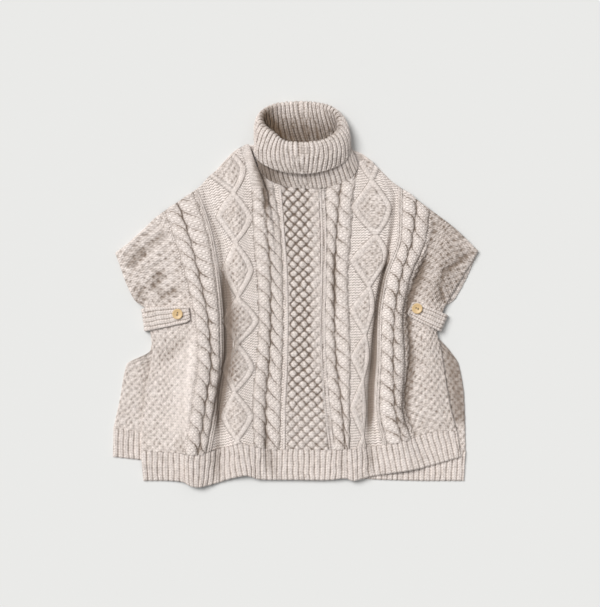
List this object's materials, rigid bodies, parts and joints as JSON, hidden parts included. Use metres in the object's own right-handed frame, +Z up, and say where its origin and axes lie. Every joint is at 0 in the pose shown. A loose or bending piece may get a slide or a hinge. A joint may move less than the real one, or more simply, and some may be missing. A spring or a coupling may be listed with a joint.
{
  "type": "knitted poncho sweater",
  "caption": "Cable knit poncho sweater with a ribbed roll collar and buttoned side tabs, laid flat with its front up and its side edges open",
  "frame": {"origin": "under the middle of the garment's outline, on the surface that it lies on", "axes": "+X to the right as seen from above with the collar away from the viewer, +Y towards the collar, +Z up off the surface"},
  "size_m": [0.732, 0.7713, 0.049],
  "materials": {
    "panel_knit": "undyed oatmeal wool in cables, diamonds, honeycomb and moss stitch, matt and slightly hairy",
    "rib_knit": "the same wool in two by two rib, matt and slightly hairy",
    "button_wood": "pale sanded wood with fine grain, satin"
  },
  "bodies": {
    "root": {"back_panel": "panel_knit", "back_hem_rib": "rib_knit", "front_panel": "panel_knit", "front_hem_rib": "rib_knit", "roll_collar": "rib_knit", "tab_left": "rib_knit", "tab_right": "rib_knit", "button_left": "button_wood", "button_right": "button_wood"}
  },
  "joints": []
}
